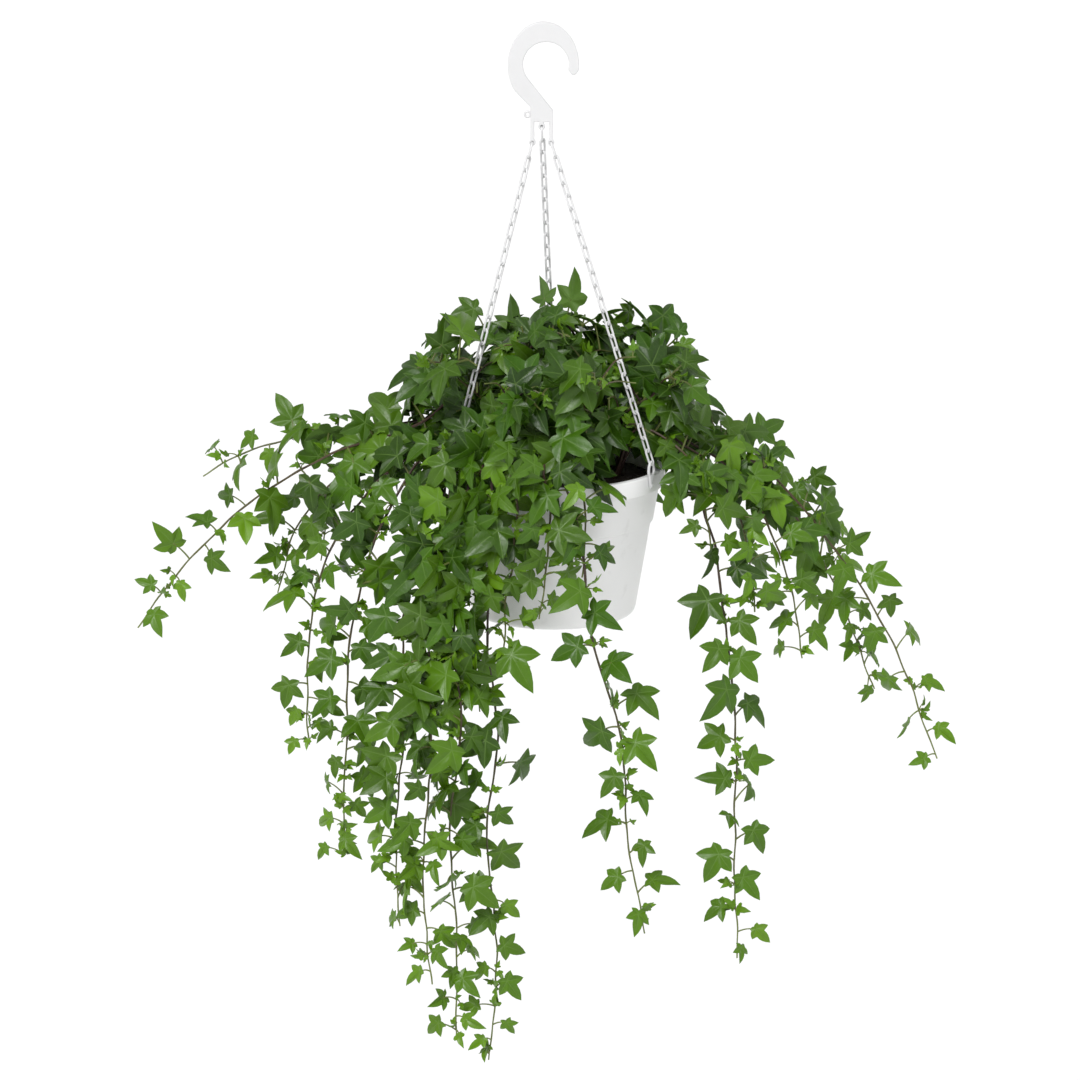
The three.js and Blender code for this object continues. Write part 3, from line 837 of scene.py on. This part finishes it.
def turned(profile, sides):
    """A closed turned solid whose profile starts and ends on the axis."""
    inner = profile[1:-1]
    rows = len(inner)
    angles = np.arange(sides) * 2 * math.pi / sides
    points = [[r * math.cos(a), r * math.sin(a), z] for r, z in inner for a in angles]
    points += [[0, 0, profile[0][1]], [0, 0, profile[-1][1]]]
    first, last = len(points) - 2, len(points) - 1
    loops, sizes, places = [], [], []
    for k in range(sides):
        m = (k + 1) % sides
        for i in range(rows - 1):
            loops += [i * sides + k, i * sides + m, (i + 1) * sides + m, (i + 1) * sides + k]
            sizes.append(4)
            low, high = 0.1 + 0.8 * i / rows, 0.1 + 0.8 * (i + 1) / rows
            places += [(k / sides, low), ((k + 1) / sides, low), ((k + 1) / sides, high), (k / sides, high)]
        loops += [first, m, k, last, (rows - 1) * sides + k, (rows - 1) * sides + m]
        sizes += [3, 3]
        for centre in ((0.05, 0.05), (0.95, 0.95)):
            a, b = angles[k], angles[m]
            rim = [(centre[0] + 0.045 * math.cos(t), centre[1] + 0.045 * math.sin(t)) for t in (b, a)]
            places += [centre, *rim]
    return np.array(points) + POT_CENTRE, np.array(loops), np.array(sizes), np.array(places)


def wall_radius(depth):
    """The outside radius of the pot's wall, at a depth below the rim."""
    return BODY_TOP_RADIUS - (depth - RIM_BAND) * WALL_SLOPE


def make_pot(material):
    """The turned pot: rim band, ring step, tapered wall, foot ring and floor."""
    step_top = STEP_DEPTH - STEP_SIZE
    profile = filleted([
        (0, -POT_HEIGHT + FOOT_RING, 0),
        (BASE_RADIUS - 0.020, -POT_HEIGHT + FOOT_RING, 0.001),
        (BASE_RADIUS - 0.018, -POT_HEIGHT, 0.001),
        (BASE_RADIUS - 0.0005, -POT_HEIGHT, BASE_CORNER * 0.8),
        (wall_radius(STEP_DEPTH) - RING_STEP, -STEP_DEPTH, 0.0002),
        (wall_radius(step_top), -step_top, 0.0002),
        (BODY_TOP_RADIUS - BAND_UNDERCUT, -RIM_BAND - 0.0005, 0.0005),
        (RIM_RADIUS - 0.0005, -RIM_BAND, 0.0006),
        (RIM_RADIUS, 0, 0.0016),
        (BODY_TOP_RADIUS - WALL, 0, 0.0010),
        (wall_radius(step_top) - WALL - STEP_SIZE, -step_top, 0.0010),
        (BASE_RADIUS - WALL - STEP_SIZE, -POT_HEIGHT + BASE_CORNER, 0.0030),
        (BASE_RADIUS - BASE_CORNER, -POT_HEIGHT + POT_FLOOR, 0.0010),
        (0, -POT_HEIGHT + POT_FLOOR, 0),
    ])
    gathered = Gathered()
    gathered.add(*turned(profile, POT_SIDES))
    gathered.build("pot_body", [material], "pot_plastic", "pot", sharp=40.0)


def make_soil(material):
    """The potting mix: a lumpy top, with loose crumbs lying on it."""
    rng = random.Random("soil")
    edge = wall_radius(SOIL_DEPTH) - WALL - 2 * STEP_SIZE
    crown = SOIL_TOP - 0.001
    profile = [(0, -POT_HEIGHT + 0.006), (BASE_RADIUS - 0.010, -POT_HEIGHT + 0.006)]
    profile += [(edge - 0.012, -STEP_DEPTH), (edge - 0.0015, -SOIL_DEPTH - 0.002)]
    for share in np.linspace(0.97, 0.04, 26):
        profile.append((edge * share, -SOIL_DEPTH + (crown + SOIL_DEPTH) * min(1, 3 * (1 - share))))
    profile.append((0, crown))
    points, loops, sizes, places = turned(profile, SOIL_SIDES)
    for point in points:
        if point[2] > POT_CENTRE[2] - SOIL_DEPTH - 0.001:
            point[2] += SOIL_LUMPS * field_noise.fractal(Vector(point * 140), 0.8, 2.1, 4)
    gathered = Gathered()
    gathered.add(points, loops, sizes, places)
    for _ in range(CRUMBS):
        radius, bearing = edge * 0.95 * math.sqrt(rng.random()), rng.uniform(0, 360)
        low = -SOIL_DEPTH if radius > edge * 0.7 else crown
        start = polar(bearing, radius, low + rng.uniform(0.0, 0.002)) + POT_CENTRE
        heading = unit(scatter(rng, 1) * [1, 1, 0.3]) * rng.uniform(0.001, 0.0035)
        crumb = tube([start, start + heading, start + 2 * heading], [0.0004, 0.0011, 0.0005], 6)
        gathered.add(*crumb)
    gathered.build("potting_mix", [material], "soil", "soil", sharp=60.0)


# ---------------------------------------------------------------- hanger

def arc(centre_x, centre_z, width, height, start, end, steps=40):
    """Points along part of an ellipse, from one angle to another."""
    angles = np.radians(np.linspace(start, end, steps))
    return [(centre_x + width * math.cos(a), centre_z + height * math.sin(a)) for a in angles]


def plate_mesh(name, outer, holes, thickness, edge):
    """A flat plate with rounded edges, standing in X and Z."""
    curve = bpy.data.curves.new(name, "CURVE")
    curve.dimensions = "2D"
    curve.fill_mode = "BOTH"
    curve.extrude = thickness / 2 - edge
    curve.bevel_depth = edge
    curve.bevel_resolution = 3
    curve.offset = -edge
    for outline in [outer, *holes]:
        spline = curve.splines.new("POLY")
        spline.points.add(len(outline) - 1)
        for point, (x, z) in zip(spline.points, outline):
            point.co = (x, z, 0, 1)
        spline.use_cyclic_u = True
    holder = bpy.data.objects.new(name + "_curve", curve)
    bpy.context.scene.collection.objects.link(holder)
    bpy.context.view_layer.update()
    evaluated = holder.evaluated_get(bpy.context.evaluated_depsgraph_get())
    mesh = bpy.data.meshes.new_from_object(evaluated)
    bpy.data.objects.remove(holder)
    points = np.zeros(len(mesh.vertices) * 3)
    mesh.vertices.foreach_get("co", points)
    loops = np.array([v for p in mesh.polygons for v in p.vertices])
    sizes = np.array([len(p.vertices) for p in mesh.polygons])
    return points.reshape(-1, 3), loops, sizes


def leg_outline(x, bottom):
    """Down one side of a leg, round the eye at its end, and up the other side."""
    tangent = math.degrees(math.acos(FOOT_LEG / 2 / LEG_EYE))
    return arc(x, -bottom + LEG_EYE, LEG_EYE, LEG_EYE, 180 - tangent, 360 + tangent, 20)


def make_hook(material):
    """The flat hook: an open bow, a solid foot, three legs with eyes, and a small ring at its side."""
    left = FOOT_SHIFT - FOOT_WIDTH / 2
    right = left + FOOT_WIDTH
    leg_top = -FOOT_TOP - FOOT_SOLID
    outer_width = BOW_RADIUS + (BOW_STRAP_SIDE + HOOK_TIP_WIDTH) / 2
    inner_centre = (BOW_STRAP_SIDE - HOOK_TIP_WIDTH) / 2
    legs = [(x, bottom) for _, x, bottom in CHAINS.values()]
    outer = arc(0, BOW_STRAP_TOP - BOW_HEIGHT, outer_width, BOW_HEIGHT, -5, 215)
    outer.append((left, -FOOT_TOP + FOOT_CORNER))
    for x, bottom in sorted(legs):
        outer += [(x - FOOT_LEG / 2, leg_top)] if x > left + FOOT_LEG else []
        outer += leg_outline(x, bottom)
        outer += [(x + FOOT_LEG / 2, leg_top)] if x < right - FOOT_LEG else []
    outer += [(right, -FOOT_TOP)]
    outer += arc(inner_centre, -BOW_RADIUS, BOW_RADIUS, BOW_RADIUS, 218, -12)
    inner_tip, outer_tip = np.array(outer[-1]), np.array(outer[0])
    control = (inner_tip + outer_tip) / 2 - np.array([0, 2 * HOOK_TIP_ROUND])
    for t in np.linspace(0.1, 0.9, 9):
        outer.append(tuple((1 - t) ** 2 * inner_tip + 2 * t * (1 - t) * control + t ** 2 * outer_tip))
    holes = [arc(x, -bottom + LEG_EYE, LEG_HOLE, LEG_HOLE, 360, 15, 24) for x, bottom in legs]
    points, loops, sizes = plate_mesh("hook_plate", outer, holes, HOOK_THICKNESS, HOOK_EDGE)
    points = points[:, [0, 2, 1]] * [1, -1, 1]
    low, high = points.min(0), points.max(0)
    places = (points[loops][:, [0, 2]] - low[[0, 2]]) / (high[2] - low[2])
    gathered = Gathered()
    gathered.add(points, loops, sizes, places)
    wire = (TAB_RADIUS - TAB_HOLE) / 2
    turn = TAB_HOLE + wire
    ring = arc(left - TAB_RADIUS + wire, -FOOT_TOP - TAB_RADIUS, turn, turn, 0, 345, 24)
    gathered.add(*tube([(x, 0, z) for x, z in ring], np.full(24, wire), 8, closed=True))
    gathered.build("hook_plate", [material], "hanger_plastic", "hook", sharp=35.0)


def link_path(length, width, wire):
    """The middle line of an oval link, lying in X and Y."""
    bend = (width - wire) / 2
    straight = (length - wire) / 2 - bend
    top = [(bend * math.cos(a), straight + bend * math.sin(a)) for a in np.linspace(0, math.pi, 9)]
    return np.array([*top, *[(-x, -y) for x, y in top]])


def add_link(gathered, centre, along, sideways, length, width):
    """One oval link."""
    flat = link_path(length, width, LINK_WIRE)
    path = centre + flat[:, :1] * sideways + flat[:, 1:] * along
    gathered.add(*tube(path, np.full(len(path), LINK_WIRE / 2), 8, closed=True))


def make_chain(place, material):
    """Links that hang through each other, from the eye of a leg down to the loop of a clip."""
    bearing, leg_x, bottom = CHAINS[place]
    eye = np.array([leg_x, 0.0, -bottom + LEG_EYE])
    loop_top = polar(bearing, RIM_RADIUS + CLIP_STANDOFF, CLIP_LOOP * 0.94) + POT_CENTRE
    along = unit(eye - loop_top)
    across = unit(np.cross(along, np.array([0.0, 1.0, 0.0])))
    other = np.cross(along, across)
    low = loop_top - along * (CLIP_WIRE / 2 + LINK_WIRE)
    high = eye - along * (END_LINK_LENGTH - 2.5 * LINK_WIRE)
    span = np.linalg.norm(high - low)
    count = round((span - LINK_LENGTH) / (LINK_LENGTH - 2 * LINK_WIRE)) + 1
    pitch = (span - LINK_LENGTH) / (count - 1)
    gathered = Gathered()
    for i in range(count):
        turn = math.pi / 4 + (i % 2) * math.pi / 2
        sideways = across * math.cos(turn) + other * math.sin(turn)
        centre = low + along * (LINK_LENGTH / 2 + i * pitch)
        add_link(gathered, centre, along, sideways, LINK_LENGTH, LINK_WIDTH)
    centre = eye - along * (END_LINK_LENGTH - LINK_WIRE) / 2
    add_link(gathered, centre, along, other, END_LINK_LENGTH, END_LINK_WIDTH)
    gathered.build("chain_links_" + place, [material], "hanger_plastic", "chain_" + place)


def make_clip(place, material):
    """A rim clip: an open loop over the rim that narrows into a flat tongue down its outside."""
    bearing = CHAINS[place][0]
    sideways, outward = polar(bearing + 90, 1, 0), polar(bearing, 1, 0)
    middle = polar(bearing, RIM_RADIUS + CLIP_STANDOFF, CLIP_LOOP / 2) + POT_CENTRE
    ring = []
    for a in np.linspace(0, 2 * math.pi, 28, endpoint=False):
        across = sideways * CLIP_WIDTH * 0.42 * (1 - 0.22 * math.sin(a)) * math.cos(a)
        ring.append(middle + across + UP * CLIP_LOOP * 0.44 * math.sin(a))
    gathered = Gathered()
    gathered.add(*tube(ring, np.full(28, CLIP_WIRE / 2), 10, closed=True))
    start = middle - UP * CLIP_LOOP * 0.34 + outward * 0.0004
    tongue = [start - UP * TONGUE_LENGTH * t for t in np.linspace(0, 1, len(TONGUE_WIDTHS))]
    points, loops, sizes, places = tube(tongue, TONGUE_WIDTHS, 14)
    depth = (points - middle) @ outward
    gathered.add(points - outward * (depth * TONGUE_FLATTENING)[:, None], loops, sizes, places)
    boss = tongue[6] + outward * 0.0010
    eyelet = []
    for a in np.linspace(0, 2 * math.pi, 14, endpoint=False):
        eyelet.append(boss + (sideways * math.cos(a) + UP * math.sin(a)) * EYELET_RADIUS)
    gathered.add(*tube(eyelet, np.full(14, EYELET_WIRE), 6, closed=True))
    gathered.build("clip_" + place, [material], "hanger_plastic", "rim_clip_" + place)


# ---------------------------------------------------------------- studio

FLOOR_DROP = 1.2
FLOOR_FLAT = 30
FLOOR_WIDE = 40
FLOOR_RISE = 12
FLOOR_STEPS = 16
FLOOR_SIDES = 96
CAMERA_TARGET = (-0.003, 0.0, -0.448)
CAMERA_DISTANCE = 3.5
CAMERA_PITCH = 14
CAMERA_LENS = 129.6
SKY_LIGHT = 0.46


def make_camera():
    """A long lens, a little above the plant and looking down at it."""
    pitch = math.radians(CAMERA_PITCH)
    back = Vector((0, math.cos(pitch), -math.sin(pitch)))
    data = bpy.data.cameras.new("camera")
    data.sensor_width = 36
    data.lens = CAMERA_LENS
    camera = bpy.data.objects.new("camera", data)
    bpy.context.scene.collection.objects.link(camera)
    camera.location = Vector(CAMERA_TARGET) - back * CAMERA_DISTANCE
    camera.rotation_euler = (math.pi / 2 - pitch, 0, 0)
    bpy.context.scene.camera = camera


def add_sun(name, heading, softness, power):
    """A broad soft light that shines along heading."""
    data = bpy.data.lights.new(name, "SUN")
    data.angle = math.radians(softness)
    data.energy = power
    light = bpy.data.objects.new(name, data)
    bpy.context.scene.collection.objects.link(light)
    light.rotation_euler = Vector(heading).to_track_quat("-Z", "Y").to_euler()


def make_floor():
    """A wide round floor whose edge curves up like a studio backdrop, all the way round."""
    low = CAD_BOX[0][2] - FLOOR_DROP
    points = []
    for step in range(FLOOR_STEPS + 1):
        share = step / FLOOR_STEPS
        radius = FLOOR_FLAT + (FLOOR_WIDE - FLOOR_FLAT) * share
        height = low + FLOOR_RISE * share**2
        points += [polar(360 * side / FLOOR_SIDES, radius, height) for side in range(FLOOR_SIDES)]
    faces = [list(range(FLOOR_SIDES))]
    for step in range(FLOOR_STEPS):
        inner = step * FLOOR_SIDES
        outer = inner + FLOOR_SIDES
        for side in range(FLOOR_SIDES):
            after = (side + 1) % FLOOR_SIDES
            faces.append([inner + side, outer + side, outer + after, inner + after])
    mesh = bpy.data.meshes.new("floor")
    mesh.from_pydata([tuple(point) for point in points], [], faces)
    mesh.shade_smooth()
    mesh.materials.append(floor_finish())
    floor = bpy.data.objects.new("floor", mesh)
    bpy.context.scene.collection.objects.link(floor)


def make_studio():
    """Even light all round, a soft key from the front left, a broad fill from the right, and the floor."""
    world = bpy.data.worlds.new("studio")
    world.use_nodes = True
    world.node_tree.nodes["Background"].inputs[0].default_value = (1, 1, 1, 1)
    world.node_tree.nodes["Background"].inputs[1].default_value = SKY_LIGHT
    bpy.context.scene.world = world
    bpy.context.scene.view_settings.view_transform = "Standard"
    add_sun("key", (0.42, 0.95, -0.95), 24, 2.5)
    add_sun("fill", (-0.7, 0.3, -0.8), 80, 0.5)
    make_floor()


# ---------------------------------------------------------------- assembly

make_camera()
make_studio()

template_rng = random.Random("leaf shapes")
LEAVES = [leaf_template(template_rng) for _ in range(7)]
YOUNG_LEAVES = [leaf_template(template_rng, young=True) for _ in range(4)]
SPROUTS = [leaf_template(template_rng, True, SPROUT_RAYS, SPROUT_RINGS) for _ in range(4)]

ivy = [leaf_finish(), stem_finish()]
hanger = moulded_finish("hanger_white", (0.70, 0.70, 0.705), (0.64, 0.64, 0.645), 0.10)
pot_white = moulded_finish("pot_white", (0.89, 0.89, 0.89), (0.85, 0.85, 0.85), 0.12)

make_hook(hanger)
for place in CHAINS:
    make_chain(place, hanger)
    make_clip(place, hanger)
make_pot(pot_white)
make_soil(soil_finish())
for name, values in all_vines().items():
    grow_vine(name, values, ivy)
for name, values in all_shoots().items():
    grow_shoot(name, values, ivy)

bpy.context.view_layer.update()
